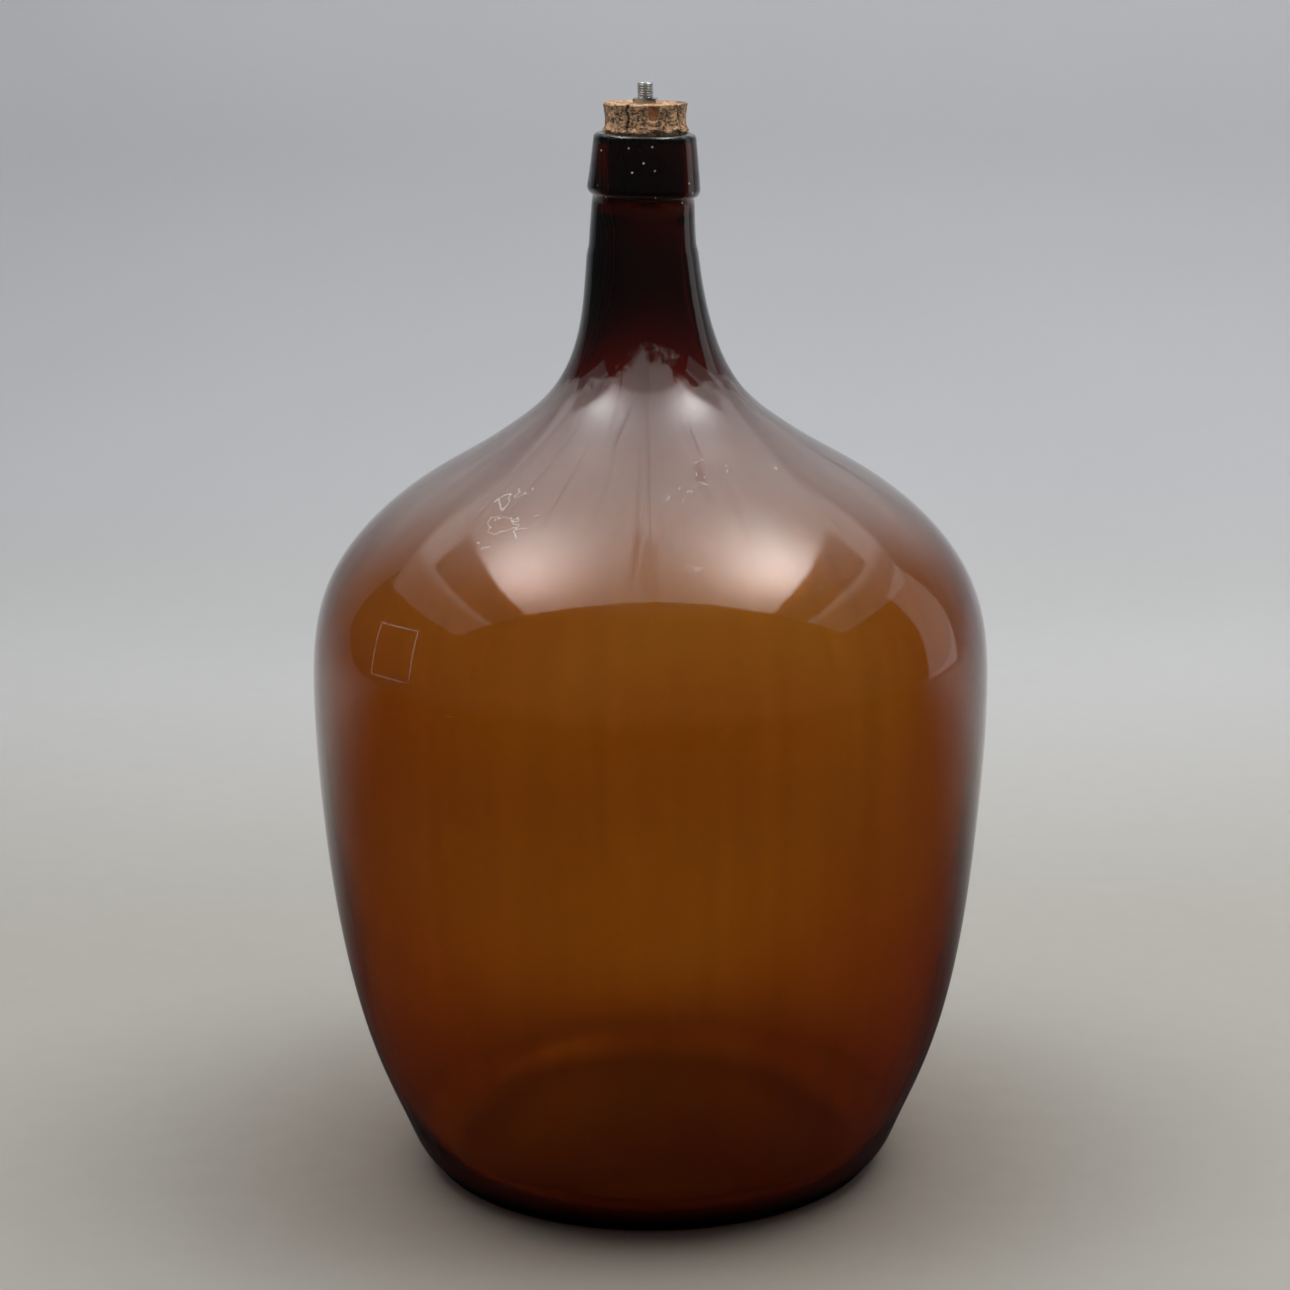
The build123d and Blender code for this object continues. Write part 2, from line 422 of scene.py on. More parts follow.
def carved_side(angle, r, z, places, grain, pits):
    """The radius of the side above the lip, with its pits, cracks, chip and crumbs."""
    rim = 1 - 0.85 * chip(angle, z)
    crumbs = ramp(z, 650.5, 646.5) * np.abs(ripple(places, CRUMB_SIZE, CRUMB_SEED)) * CRUMB_HEIGHT
    cuts = CRACK_DEPTH * crack(angle, z) + CHIP_DEPTH * chip(angle, z)
    return np.minimum(r + (grain - PIT_DEPTH * pits) * rim - cuts + crumbs, CORK_WIDEST)


def carved_top(angle, r, z, places, pits):
    """The height of the worn top, with its bump, its crumbled edge and the chip's opening."""
    x, y = r * np.cos(angle), r * np.sin(angle)
    worn = TOP_WEAR * ripple(places, 6.0, 3.0) - TOP_PITS * pits
    bump = LUMP_HEIGHT * bell(np.hypot(x - LUMP[0], y - LUMP[1]), 0, LUMP_SPREAD)
    crumbled = ramp(r, 21.0, 24.5) * np.abs(ripple(places, 2.2, 7.0)) * 0.9
    opened = 1.5 * chip(angle, np.full_like(r, 660.0)) * ramp(r, 22.2, 23.4)
    return z + ramp(r, 8.6, 12.0) * (worn - TOP_SLOPE * x) + bump - crumbled - opened


def carved(ring, k):
    """The cork's grain, pits, cracks, chip and torn skirt, as moves of its rings."""
    radius, height = cork_points[k]
    angle = np.arctan2(ring[:, 1], ring[:, 0])
    r = np.full(len(ring), radius)
    z = np.full(len(ring), height)
    skirt = ramp(z, GLASS_HEIGHT, 645.4) * (1 - ramp(z, 645.9, 650.5))
    z = z + skirt * torn_edge(angle) * (radius > SKIRT_RADIUS)
    on_side = 20.0 < radius and CORK_LOW < height < CORK_TOP
    near = 25.0 if on_side else radius
    places = np.c_[near * np.cos(angle), near * np.sin(angle), z]
    grain = sum(amount * ripple(places, size, seed) for amount, size, seed in GRAINS)
    pits = ramp(ripple(places * [1, 1, 1.5], PIT_SIZE, PIT_SEED), 0.22, 0.50)
    if on_side and height > GLASS_HEIGHT:
        r = carved_side(angle, r, z, places, grain, pits)
    elif on_side:
        r = r + np.minimum(0.3 * (grain - pits), 0.1)
    elif height >= CORK_TOP and radius > 5.5:
        z = carved_top(angle, r, z, places, pits)
    return np.c_[r * np.cos(angle), r * np.sin(angle), z] * MM


def mark_cork(piece):
    """Stores where the cork is chipped, where its cracks get painted shade, where its torn edge and the
    chip's rim get a pale painted highlight, and where it is painted dark with the shade inside the mouth.
    """
    count = len(piece.data.vertices)
    place = np.zeros(3 * count)
    piece.data.vertices.foreach_get("co", place)
    x, y, z = place.reshape(count, 3).T / MM
    angle, radius = np.arctan2(y, x), np.hypot(x, y)
    above = z - GLASS_HEIGHT - torn_edge(angle)
    # Painted highlight: a pale line along the top of the torn skirt and round the chip's rim.
    torn = bell(above, 0.1, 0.35) * (radius > 24.2)
    chip_edge = bell(chip(angle, z), 0.5, 0.22) * (radius > 22) * (z > 650)
    mark(piece, "chipped", chip(angle, z) * (radius > 20) * (radius < 24.4))
    # Painted shade: the cracks are painted dark.
    mark(piece, "crack_shade", crack(angle, z) * (radius > 21) * (z > 646))
    mark(piece, "edge_highlight", np.maximum(torn, 0.8 * chip_edge))
    # Painted shade: the cork is painted dark below the lip, inside the mouth and in the gaps under the
    # torn skirt.
    mark(piece, "darkened", ramp(z, 645.2, 644.0))


cork_points = cork_outline()
cork = lathe("cork_stopper_carved", cork_points * MM, CORK_SEGMENTS, carved)
mark_cork(cork)
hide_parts("cork_stopper")
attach(cork, "stopper")


# ---------------------------------------------------------------- threaded tube

# Millimetres, as the part has them, and the thread's root and end chamfer.
THREAD_PITCH = 1.0
THREAD_ROOT = 4.42
THREAD_CREST = 5.0
TUBE_BORE = 3.5
TUBE_END_DROP = 0.45
END_MARGIN = 0.05
RIM_ROUND = 0.25
ROWS_PER_PITCH = 10
TUBE_SEGMENTS = 64


def tube_outline():
    """The tube's section as a closed loop. The rows on its outside are close enough for the thread."""
    low, high = (corner.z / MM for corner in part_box("threaded_tube"))
    rows = round((high - low) / THREAD_PITCH * ROWS_PER_PITCH)
    rim = THREAD_ROOT - 0.1
    outside = line((THREAD_CREST, low + END_MARGIN), (THREAD_CREST, high - END_MARGIN), rows)
    top = [(rim, high), (TUBE_BORE + RIM_ROUND, high), (TUBE_BORE, high - 0.3)]
    bore = line((TUBE_BORE, high - 1.0), (TUBE_BORE, low + 1.0), 20)
    bottom = [(TUBE_BORE, low + 0.3), (TUBE_BORE + RIM_ROUND, low), (rim, low)]
    return np.vstack([outside, top, bore, bottom])


def threaded(ring, k):
    """Cuts the helical thread: a ring's radius follows the thread's turn, and drops at the ends."""
    radius_here, height = tube_points[k]
    if radius_here < THREAD_CREST:
        return ring
    angle = np.arctan2(ring[:, 1], ring[:, 0])
    phase = (height / THREAD_PITCH - angle / (2 * math.pi)) % 1.0
    groove = 1 - np.abs(2 * phase - 1)
    cut = np.clip(1.25 * groove - 0.1, 0, 1) * (THREAD_CREST - THREAD_ROOT)
    low, high = tube_points[:, 1].min(), tube_points[:, 1].max()
    from_end = min(high - height, height - low)
    chamfer = max(0.0, TUBE_END_DROP - from_end)
    radius = THREAD_CREST - np.maximum(cut, chamfer)
    return np.c_[radius * np.cos(angle) * MM, radius * np.sin(angle) * MM, ring[:, 2]]


tube_points = tube_outline()
tube = lathe("lamp_tube", tube_points * MM, TUBE_SEGMENTS, threaded)
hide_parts("threaded_tube")
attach(tube, "stopper")


# ---------------------------------------------------------------- materials


class Shader:
    """A short way to write a node material."""

    def __init__(self, name):
        self.material = bpy.data.materials.new(name)
        self.material.use_nodes = True
        self.tree = self.material.node_tree
        self.tree.nodes.clear()
        self.out = self.tree.nodes.new("ShaderNodeOutputMaterial")
        self.surface = self.tree.nodes.new("ShaderNodeBsdfPrincipled")
        self.tree.links.new(self.surface.outputs[0], self.out.inputs["Surface"])
        self.place = self.add("ShaderNodeTexCoord").outputs["Object"]

    def add(self, kind, **settings):
        """A new node, with its settings."""
        node = self.tree.nodes.new(kind)
        for key, value in settings.items():
            setattr(node, key, value)
        return node

    def put(self, socket, value):
        """Links a node's output to a socket, or sets the socket's own number or colour."""
        if isinstance(value, bpy.types.NodeSocket):
            self.tree.links.new(value, socket)
        elif hasattr(socket.default_value, "__len__") and not hasattr(value, "__len__"):
            socket.default_value = [value] * len(socket.default_value)
        else:
            socket.default_value = value

    def set(self, **inputs):
        """Puts values into the surface shader's sockets."""
        for name, value in inputs.items():
            self.put(self.surface.inputs[name.replace("_", " ")], value)

    def math(self, operation, a, b=0.0, c=0.0, clamp=False):
        """One step of arithmetic on values or node outputs."""
        node = self.add("ShaderNodeMath", operation=operation, use_clamp=clamp)
        for socket, value in zip(node.inputs, (a, b, c)):
            self.put(socket, value)
        return node.outputs[0]

    def stretch(self, z, shift=(0, 0, 0)):
        """Coordinates stretched along the height, and moved."""
        node = self.add("ShaderNodeMapping")
        self.put(node.inputs["Vector"], self.place)
        node.inputs["Scale"].default_value = (1.0, 1.0, z)
        node.inputs["Location"].default_value = shift
        return node.outputs[0]

    def noise(self, scale, detail=3.0, roughness=0.55, vector=None, distortion=0.0):
        """Cloudy noise, about 0.5."""
        node = self.add("ShaderNodeTexNoise")
        self.put(node.inputs["Vector"], vector or self.place)
        node.inputs["Scale"].default_value = scale
        node.inputs["Detail"].default_value = detail
        node.inputs["Roughness"].default_value = roughness
        node.inputs["Distortion"].default_value = distortion
        return node.outputs["Fac"]

    def cells(self, scale, vector=None):
        """Distance to the nearest of scattered points."""
        node = self.add("ShaderNodeTexVoronoi")
        self.put(node.inputs["Vector"], vector or self.place)
        node.inputs["Scale"].default_value = scale
        return node.outputs["Distance"]

    def span(self, value, low, high, to_low=0.0, to_high=1.0):
        """Goes smoothly from to_low at low to to_high at high. low may be the greater."""
        node = self.add("ShaderNodeMapRange", interpolation_type="SMOOTHSTEP")
        for socket, item in zip(node.inputs, (value, low, high, to_low, to_high)):
            self.put(socket, item)
        return node.outputs[0]

    def hump(self, value, centre, half_width):
        """A smooth hump of height 1 around a value, and 0 beyond its half width."""
        return self.span(self.math("ABSOLUTE", self.math("SUBTRACT", value, centre)), half_width, 0.0)

    def times(self, first, *others):
        """The product of several values."""
        for other in others:
            first = self.math("MULTIPLY", first, other)
        return first

    def axes(self):
        node = self.add("ShaderNodeSeparateXYZ")
        self.put(node.inputs[0], self.place)
        return node.outputs["X"], node.outputs["Y"], node.outputs["Z"]

    def from_axis(self):
        """Distance from the vertical axis."""
        x, y, z = self.axes()
        return self.math("SQRT", self.math("ADD", self.math("POWER", x, 2.0), self.math("POWER", y, 2.0)))

    def turn(self):
        """Angle about the vertical axis, in radians, from the front to the right."""
        x, y, z = self.axes()
        return self.math("ARCTAN2", x, self.math("MULTIPLY", y, -1.0))

    def unrolled(self, around_scale, along_scale, shift=0.0):
        """Coordinates of the surface unrolled about Z: turns round it, and height."""
        node = self.add("ShaderNodeCombineXYZ")
        self.put(node.inputs["X"], self.math("MULTIPLY_ADD", self.turn(), around_scale, shift))
        self.put(node.inputs["Y"], self.math("MULTIPLY", self.axes()[2], along_scale))
        return node.outputs[0]

    def mix(self, share, a, b):
        """Colour a where share is 0, colour b where it is 1."""
        node = self.add("ShaderNodeMix", data_type="RGBA")
        colours = [s for s in node.inputs if s.type == "RGBA"]
        self.put(node.inputs["Factor"], share)
        for socket, value in zip(colours, (a, b)):
            self.put(socket, value)
        return [s for s in node.outputs if s.type == "RGBA"][0]

    def blend(self, share, a, b):
        """Number a where share is 0, number b where it is 1."""
        node = self.add("ShaderNodeMix", data_type="FLOAT")
        floats = [s for s in node.inputs if s.type == "VALUE"]
        for socket, value in zip(floats, (share, a, b)):
            self.put(socket, value)
        return node.outputs[0]

    def attribute(self, name):
        return self.add("ShaderNodeAttribute", attribute_name=name).outputs["Fac"]

    def bump(self, height, distance, strength=1.0, after=None):
        node = self.add("ShaderNodeBump")
        self.put(node.inputs["Height"], height)
        node.inputs["Distance"].default_value = distance
        node.inputs["Strength"].default_value = strength
        if after is not None:
            self.put(node.inputs["Normal"], after)
        return node.outputs[0]

    def to(self, *objects):
        """Gives the material to objects, in place of any they have."""
        for piece in objects:
            piece.data.materials.clear()
            piece.data.materials.append(self.material)


def srgb(red, green, blue):
    """A colour given as it looks on screen, 0 to 255, as the linear colour that shaders take."""
    found = []
    for value in (red, green, blue):
        c = value / 255
        found.append(c / 12.92 if c <= 0.04045 else ((c + 0.055) / 1.055) ** 2.4)
    return (*found, 1.0)


# Light lost per metre of glass, red, green and blue, and the density that carries the loss.
AMBER_LOSS = (112.0, 285.0, 820.0)
AMBER_DENSITY = 840.0
GLASS_IOR = 1.52

# Heights in metres where the outer surface changes: each pair is where a change starts and is full.
DUST_LOW = (0.385, 0.445)
DUST_HIGH = (0.503, 0.496)
DUST_RAG = 0.055  # how far the dust's upper edge wanders
FRONT_PEAK, FRONT_PEAK_AT, FRONT_PEAK_HALF = 0.024, 0.003, 0.030
GRIT_LOW = (0.30, 0.45)
LILAC_LOW = (0.44, 0.49)
SPECKS_LOW = (0.600, 0.606)
WEAR_HEIGHT, WEAR_HALF = 0.331, 0.014

# The inside: the glass lets through less in the lower belly and in the neck, and a pale film in the heel
# is painted light that lightens the base.
BELLY_DIM_TOP = (0.40, 0.27)
BELLY_DIM_BOTTOM = (0.07, 0.20)
NECK_DIM_HEIGHTS = (0.505, 0.56)
HEEL_LIGHT_HEIGHT, HEEL_LIGHT_HALF = 0.018, 0.020
HEEL_LIGHT_RADII = (0.118, 0.128)

# The outline left by a removed label: its middle and half sizes, as an angle and a height.
LABEL_TURN, LABEL_HALF_TURN = -0.82, 0.084
LABEL_HEIGHT, LABEL_HALF_HEIGHT = 0.3595, 0.0145
LABEL_LINE = 0.05

# How much of the glass each of these covers, from 0 to 1.
CLEAN_COVER, DUST_COVER = 0.004, 0.165
FILM_COVER = (0.05, 0.15)
HEEL_LIGHT_COVER, SPECK_COVER, SCRATCH_COVER, LABEL_COVER = 0.60, 0.8, 0.35, 0.22
WIPED_SHARE, BRUSHED_SHARE = 0.70, 0.42

# Colours let through by the glass's surface, on top of the absorption.
CLEAR_TINT = (1.0, 0.97, 0.90, 1.0)
BELLY_DIM_TINT = (0.83, 0.73, 0.80, 1.0)
NECK_TINT = (0.54, 0.68, 0.62, 1.0)


def shoulder_area(s):
    """1 where the shoulder is dusty: it ends raggedly at the neck, highest at the front."""
    x, y, z = s.axes()
    noise_at = s.math("SUBTRACT", z, DUST_RAG / 2)
    ragged = s.math("MULTIPLY_ADD", s.noise(38.0, detail=5.0, roughness=0.7), DUST_RAG, noise_at)
    peak = s.times(s.hump(x, FRONT_PEAK_AT, FRONT_PEAK_HALF), s.span(y, 0.0, -0.02))
    ragged = s.math("MULTIPLY_ADD", peak, -FRONT_PEAK, ragged)
    return s.times(s.span(z, *DUST_LOW), s.span(ragged, *DUST_HIGH))


def shoulder_dust(s, shoulder):
    """Cloudy dust on the shoulder, thinner where it was wiped and brushed, with grit."""
    height = s.axes()[2]
    cloud = s.span(s.noise(8.0, detail=4.0, roughness=0.6), 0.25, 0.75, 0.72, 1.0)
    speckle = s.span(s.noise(560.0, detail=2.0, roughness=0.6), 0.35, 0.75, 0.75, 1.0)
    smears = s.noise(1.0, 4.0, 0.6, s.unrolled(5.0, 14.0), distortion=0.8)
    strokes = s.noise(1.0, 3.0, 0.65, s.unrolled(26.0, 5.0, shift=7.0))
    wiped = s.times(s.span(smears, 0.40, 0.30), WIPED_SHARE)
    brushed = s.times(s.span(strokes, 0.52, 0.70), BRUSHED_SHARE)
    rubbed = s.math("ADD", wiped, brushed, clamp=True)
    dust = s.times(shoulder, cloud, speckle, s.math("SUBTRACT", 1.0, rubbed))
    grains = s.times(s.span(s.cells(300.0), 0.10, 0.05), s.span(s.noise(60.0), 0.5, 0.65))
    return s.math("MAXIMUM", dust, s.times(grains, s.span(height, *GRIT_LOW)))


def white_marks(s, shoulder):
    """White specks on the collar, fine scratches on the shoulder and the outline of a lost label."""
    height = s.axes()[2]
    specks = s.times(s.span(s.cells(150.0), 0.11, 0.08), s.span(height, *SPECKS_LOW))
    away = s.math("ABSOLUTE", s.math("SUBTRACT", s.noise(34.0, roughness=0.6), 0.5))
    scratched = s.times(s.span(away, 0.010, 0.004), s.span(s.noise(17.0), 0.57, 0.61), shoulder)
    sideways = s.math("ABSOLUTE", s.math("SUBTRACT", s.turn(), LABEL_TURN))
    upright = s.math("ABSOLUTE", s.math("SUBTRACT", height, LABEL_HEIGHT))
    sideways = s.math("DIVIDE", sideways, LABEL_HALF_TURN)
    upright = s.math("DIVIDE", upright, LABEL_HALF_HEIGHT)
    label = s.hump(s.math("MAXIMUM", sideways, upright), 1.0, LABEL_LINE)
    label = s.times(label, s.span(s.noise(90.0), 0.3, 0.5))
    white = s.math("MAXIMUM", s.times(specks, SPECK_COVER), s.times(scratched, SCRATCH_COVER))
    return s.math("MULTIPLY_ADD", label, LABEL_COVER, white)


def surface_tint(s):
    """The glass lets through a little less in the lower belly, and less in the neck."""
    height = s.axes()[2]
    darkened = s.times(s.span(height, *BELLY_DIM_TOP), s.span(height, *BELLY_DIM_BOTTOM))
    tint = s.mix(darkened, CLEAR_TINT, BELLY_DIM_TINT)
    return s.mix(s.span(height, *NECK_DIM_HEIGHTS), tint, NECK_TINT)


def glass_roughness(s, inside, dust):
    """Smooth outside, save for dust and a ring of wear, and slightly cloudy inside."""
    rings = s.noise(1.0, 4.0, 0.7, s.unrolled(3.0, 900.0))
    worn = s.times(s.span(rings, 0.56, 0.72), s.hump(s.axes()[2], WEAR_HEIGHT, WEAR_HALF))
    outer = s.math("MULTIPLY_ADD", dust, 0.14, 0.030)
    outer = s.math("MULTIPLY_ADD", worn, 0.25, outer)
    inner = s.span(s.noise(7.0), 0.3, 0.7, 0.10, 0.18)
    return s.blend(inside, outer, inner)


def amber_volume(s):
    """The glass's own colour: light is absorbed over its real thickness."""
    volume = s.add("ShaderNodeVolumeAbsorption")
    kept = [1 - loss / AMBER_DENSITY for loss in AMBER_LOSS]
    volume.inputs["Density"].default_value = AMBER_DENSITY
    volume.inputs["Color"].default_value = (*kept, 1.0)
    s.tree.links.new(volume.outputs[0], s.out.inputs["Volume"])


def amber_glass():
    """Amber glass: colour from its thickness, dust on the shoulder, wear on the belly, hazy inside."""
    s = Shader("amber_glass")
    height = s.axes()[2]
    inside = s.attribute("inside")
    shoulder = shoulder_area(s)
    dust = shoulder_dust(s, shoulder)
    white = white_marks(s, shoulder)
    streaks = s.noise(1.0, 4.0, 0.6, s.unrolled(14.0, 2.5, shift=3.0))
    # Painted light: a pale brown film inside the heel, which lightens the base.
    heel = s.span(s.from_axis(), *HEEL_LIGHT_RADII)
    heel_light = s.times(s.hump(height, HEEL_LIGHT_HEIGHT, HEEL_LIGHT_HALF), heel)
    film = s.math("MULTIPLY_ADD", heel_light, HEEL_LIGHT_COVER, s.span(streaks, 0.30, 0.75, *FILM_COVER))
    outer = s.math("ADD", s.math("MULTIPLY_ADD", dust, DUST_COVER, CLEAN_COVER), white, clamp=True)
    haze = s.blend(inside, outer, film)
    grey = s.mix(s.span(height, *LILAC_LOW), srgb(186, 170, 164), srgb(178, 164, 174))
    grey = s.mix(white, grey, srgb(236, 232, 226))
    # The inner film is brown, paler where it is painted light in the heel.
    brown = s.mix(heel_light, srgb(150, 112, 74), srgb(196, 156, 100))
    s.set(Base_Color=s.mix(haze, surface_tint(s), s.mix(inside, grey, brown)))
    s.set(Transmission_Weight=s.math("SUBTRACT", 1.0, haze))
    s.set(Roughness=glass_roughness(s, inside, dust), IOR=GLASS_IOR)
    waves = s.bump(s.noise(22.0, detail=2.0, roughness=0.5), 0.0005, 0.4)
    fine = s.noise(300.0, 3.0, 0.6, s.stretch(1.4))
    s.set(Normal=s.bump(fine, 0.00005, 0.3, waves))
    amber_volume(s)
    return s


def cork_wood():
    """Natural cork: brown grain with dark pits, a pale painted highlight along the torn edge, painted
    shade in the cracks, and painted shade inside the mouth.
    """
    s = Shader("cork")
    streaks = s.noise(230.0, 5.0, 0.65, s.stretch(0.7))
    grain = s.noise(1100.0, detail=4.0, roughness=0.7)
    pits = s.span(s.cells(420.0, s.stretch(1.5)), 0.26, 0.10)
    marks = s.span(s.noise(330.0, 4.0, 0.65, s.stretch(1.4, shift=(4, 2, 9))), 0.56, 0.64)
    dark = s.math("MAXIMUM", s.times(pits, 0.8), marks, clamp=True)
    colour = s.mix(s.span(streaks, 0.40, 0.60), srgb(112, 72, 42), srgb(216, 168, 122))
    colour = s.mix(s.span(grain, 0.50, 0.68), colour, srgb(242, 210, 172))
    colour = s.mix(s.times(dark, 0.75), colour, srgb(66, 40, 26))
    # Painted shade: the cracks are painted dark.
    for name, tone in (("chipped", srgb(204, 130, 76)), ("crack_shade", srgb(44, 26, 18)),
                       # Painted highlight: the torn edge and the chip's rim are painted pale.
                       ("edge_highlight", srgb(236, 220, 198))):
        colour = s.mix(s.attribute(name), colour, tone)
    # Painted shade: dark brown for the cork inside the mouth and under the torn skirt.
    mouth_shade = s.mix(streaks, srgb(36, 24, 18), srgb(62, 40, 28))
    s.set(Base_Color=s.mix(s.attribute("darkened"), colour, mouth_shade))
    s.set(Roughness=s.span(grain, 0.3, 0.7, 0.62, 0.88))
    coarse = s.bump(streaks, 0.0008, 0.7)
    s.set(Normal=s.bump(s.math("SUBTRACT", grain, dark), 0.0004, 0.9, coarse))
    return s


def zinc_plate():
    """Bright zinc plate, slightly clouded, with some grime and fine turning marks."""
    s = Shader("zinc_plate")
    cloud = s.noise(160.0, roughness=0.6)
    grime = s.span(s.noise(420.0), 0.55, 0.75, 0.0, 0.35)
    turned = s.noise(90.0, 2.0, 0.5, s.stretch(40.0))
    colour = s.mix(s.span(cloud, 0.3, 0.7), srgb(168, 172, 172), srgb(212, 215, 214))
    s.set(Base_Color=s.mix(grime, colour, srgb(120, 116, 106)), Metallic=1.0)
    s.set(Roughness=s.span(cloud, 0.25, 0.75, 0.16, 0.30))
    s.set(Normal=s.bump(turned, 0.00004, 0.4))
    return s


amber_glass().to(glass)
cork_wood().to(cork)
zinc_plate().to(tube, *(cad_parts[n] for n in ("upper_nut", "lower_washer", "lower_nut")))


# ---------------------------------------------------------------- studio

# Metres. The sweep is a floor that rises into the backdrop behind the bottle.
SWEEP_HALF_WIDTH = 4.0
FLOOR_FRONT = -4.0
SWEEP_START = 1.5
SWEEP_RADIUS = 1.2
WALL_HEIGHT = 4.0
PAINTED_SHADOW_RADII = (0.36, 0.14)
PAINTED_SHADOW_SHARE = 0.45  # of the painted shadow, dark brown, on the floor round the bottle
UNMIRRORED_FROM, UNMIRRORED_FULL = 0.90, 0.10

# The glowing ceiling, its hot spots as (x, power), and the dark gaps at either side of them.
CEILING_HEIGHT = 2.1
CEILING_BACK, CEILING_FRONT, CEILING_HALF_WIDTH = 1.7, -0.95, 3.2
HOT_SPOTS = [(-1.0, 6.5), (1.02, 8.5)]
HOT_SPOT_Y = -0.13
HOT_SPOT_SQUASH, HOT_SPOT_FALL = 0.9, -3.6
GAP_INNER, GAP_OUTER, GAP_BACK = (1.32, 1.38), (2.05, 1.95), (0.98, 0.86)
GAP_DARKNESS = 0.85
CEILING_MIDDLE, CEILING_SIDES = 1.12, 0.40
SIDES = (1.9, 2.3)

# The sky's strength as the camera sees it, in reflections, and as light on surfaces.
SKY_COLOUR = (0.93, 0.96, 1.0, 1.0)
SKY_SEEN = 0.40
SKY_MIRRORED = 0.04
SKY_FILL = 0.155


def sweep_material():
    """The pale floor and the slightly cooler backdrop, with painted light: the floor darker in front, the
    backdrop lighter and a little darker towards the top, the whole sweep brighter to the right, and a
    painted shadow round the bottle. It makes few reflections near the bottle.
    """
    s = Shader("studio_sweep")
    x, y, z = s.axes()
    # Painted light: the floor is painted darker in front and lighter towards the backdrop, and the
    # backdrop lighter, a little darker towards the top.
    colour = s.mix(s.span(y, 0.3, 1.5), srgb(172, 169, 161), srgb(211, 211, 211))
    colour = s.mix(s.span(z, 0.01, 0.12), colour, srgb(213, 214, 218))
    colour = s.mix(s.span(z, 0.20, 0.60), colour, srgb(208, 210, 214))
    # Painted shadow: the floor round the bottle is painted darker and brown, standing in for its shadow
    # and the amber light through the glass.
    painted_shadow = s.span(s.from_axis(), *PAINTED_SHADOW_RADII, 0.0, PAINTED_SHADOW_SHARE)
    colour = s.mix(painted_shadow, colour, srgb(132, 110, 88))
    mottled = s.span(s.noise(1.5, detail=2.0), 0.2, 0.8, 0.98, 1.02)
    # Painted light: the sweep is painted brighter towards the right.
    side = s.span(x, -1.2, 1.2, 0.94, 1.04)
    path = s.add("ShaderNodeLightPath").outputs
    mirrored = s.math("SUBTRACT", path["Is Glossy Ray"], path["Is Transmission Ray"], clamp=True)
    mirrored = s.times(mirrored, s.span(y, UNMIRRORED_FROM, UNMIRRORED_FULL))
    shade = s.add("ShaderNodeHueSaturation")
    s.put(shade.inputs["Color"], colour)
    s.put(shade.inputs["Value"], s.times(mottled, side, s.math("SUBTRACT", 1.0, mirrored)))
    s.set(Base_Color=shade.outputs[0], Roughness=s.span(s.noise(40.0), 0.3, 0.7, 0.75, 0.9))
    return s


def ceiling_material():
    """A glowing ceiling: even light, two soft hot spots, and a dark gap beyond each."""
    s = Shader("studio_ceiling")
    x, y, z = s.axes()
    far = s.math("ABSOLUTE", x)
    gap = s.times(s.span(far, *GAP_INNER), s.span(far, *GAP_OUTER), s.span(y, *GAP_BACK))
    glow = s.math("SUBTRACT", 1.0, s.times(gap, GAP_DARKNESS))
    glow = s.times(glow, s.span(far, *SIDES, CEILING_MIDDLE, CEILING_SIDES))
    for centre, power in HOT_SPOTS:
        across = s.math("POWER", s.math("SUBTRACT", x, centre), 2.0)
        along = s.math("POWER", s.math("SUBTRACT", y, HOT_SPOT_Y), 2.0)
        away = s.math("MULTIPLY_ADD", along, HOT_SPOT_SQUASH, across)
        near = s.math("EXPONENT", s.times(away, HOT_SPOT_FALL))
        near = s.times(near, s.math("SUBTRACT", 1.0, gap))
        glow = s.math("MULTIPLY_ADD", near, power, glow)
    s.set(Base_Color=(0.0, 0.0, 0.0, 1.0), Emission_Color=(1.0, 1.0, 1.0, 1.0))
    s.set(Emission_Strength=glow)
    return s


def strip(name, section, half_width):
    """A wide strip across the studio, from its section in the YZ plane."""
    verts = [(x, y, z) for y, z in section for x in (-half_width, half_width)]
    faces = [(2 * i, 2 * i + 1, 2 * i + 3, 2 * i + 2) for i in range(len(section) - 1)]
    made = smooth_mesh(name, verts, faces)
    return made


def panel(name, place, aim, width, height, radiance):
    """A rectangular soft light of a given brightness, aimed at a point."""
    light = bpy.data.lights.new(name, "AREA")
    light.shape = "RECTANGLE"
    light.size = width
    light.size_y = height
    light.energy = radiance * math.pi * width * height
    made = new_object(name, light)
    made.location = place
    made.rotation_euler = (Vector(aim) - Vector(place)).to_track_quat("-Z", "Y").to_euler()
    made.visible_camera = False
    return made


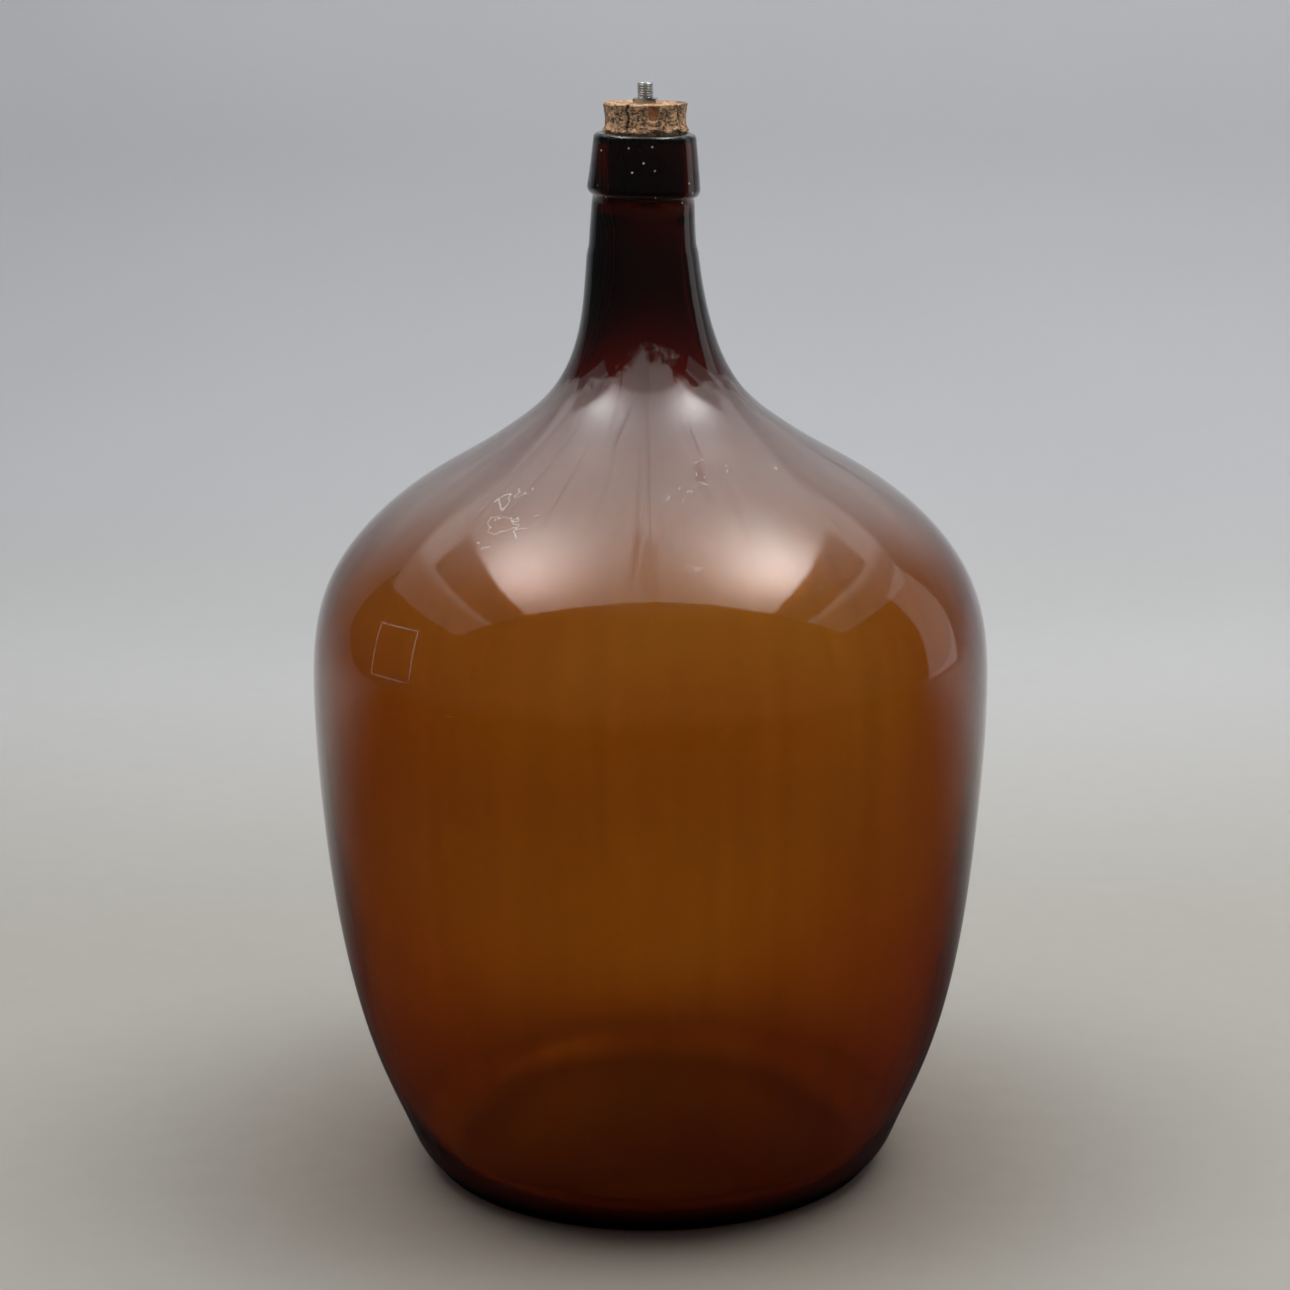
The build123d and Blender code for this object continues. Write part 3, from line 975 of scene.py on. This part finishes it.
def sky():
    """A soft grey surround, dim in reflections so that it doesn't veil the glass."""
    world = bpy.data.worlds.new("studio_world")
    bpy.context.scene.world = world
    world.use_nodes = True
    nodes, links = world.node_tree.nodes, world.node_tree.links
    background = nodes["Background"]
    background.inputs["Color"].default_value = SKY_COLOUR
    path = nodes.new("ShaderNodeLightPath").outputs
    mirrored = nodes.new("ShaderNodeMath")
    mirrored.operation = "SUBTRACT"
    mirrored.use_clamp = True
    links.new(path["Is Glossy Ray"], mirrored.inputs[0])
    links.new(path["Is Transmission Ray"], mirrored.inputs[1])
    seen_or_mirrored = nodes.new("ShaderNodeMapRange")
    links.new(mirrored.outputs[0], seen_or_mirrored.inputs["Value"])
    seen_or_mirrored.inputs["To Min"].default_value = SKY_SEEN
    seen_or_mirrored.inputs["To Max"].default_value = SKY_MIRRORED
    strength = nodes.new("ShaderNodeMapRange")
    links.new(path["Is Diffuse Ray"], strength.inputs["Value"])
    links.new(seen_or_mirrored.outputs[0], strength.inputs["To Min"])
    strength.inputs["To Max"].default_value = SKY_FILL
    links.new(strength.outputs[0], background.inputs["Strength"])


def studio():
    """A seamless sweep, a glowing ceiling, a light on the backdrop and a tall window at the right."""
    back = strip("studio_sweep", np.vstack([
        line((FLOOR_FRONT, 0.0), (SWEEP_START, 0.0), 12),
        arc((SWEEP_START, SWEEP_RADIUS), SWEEP_RADIUS, -90, 0, 24)[1:],
        [(SWEEP_START + SWEEP_RADIUS, WALL_HEIGHT)],
    ]), SWEEP_HALF_WIDTH)
    sweep_material().to(back)
    edges = [(CEILING_BACK, CEILING_HEIGHT), (CEILING_FRONT, CEILING_HEIGHT)]
    ceiling = strip("studio_ceiling", edges, CEILING_HALF_WIDTH)
    ceiling.visible_camera = False
    ceiling_material().to(ceiling)
    wash = panel("wash", (0.0, 1.2, 2.6), (0.0, 2.7, 0.2), width=5.0, height=0.5, radiance=7.5)
    wash.visible_glossy = False
    panel("window", (2.76, 1.17, 1.2), (0.0, 0.0, 1.2), width=1.0, height=2.3, radiance=0.55)


# The camera, a little above the mouth: metres, degrees, and a focal length in picture widths.
CAMERA_DISTANCE = 1.9276
CAMERA_HEIGHT = 0.7788
CAMERA_PITCH = -13.08
CAMERA_YAW = 0.088
CAMERA_ROLL = -0.49
FOCAL_LENGTH = 2.4773643
SENSOR = 36.0


def camera():
    """Looks slightly down at the bottle from in front."""
    data = bpy.data.cameras.new("camera")
    data.sensor_width = SENSOR
    data.lens = FOCAL_LENGTH * SENSOR
    data.clip_end = 50
    made = new_object("camera", data)
    made.location = (0.0, -CAMERA_DISTANCE, CAMERA_HEIGHT)
    made.rotation_mode = "QUATERNION"
    bpy.context.scene.camera = made
    yaw = Quaternion((0, 0, 1), math.radians(CAMERA_YAW))
    pitch = Quaternion((1, 0, 0), math.radians(90 + CAMERA_PITCH))
    roll = Quaternion((0, 0, 1), math.radians(CAMERA_ROLL))
    made.rotation_quaternion = yaw @ pitch @ roll


studio()
sky()
camera()
bpy.context.scene.view_settings.view_transform = "Standard"
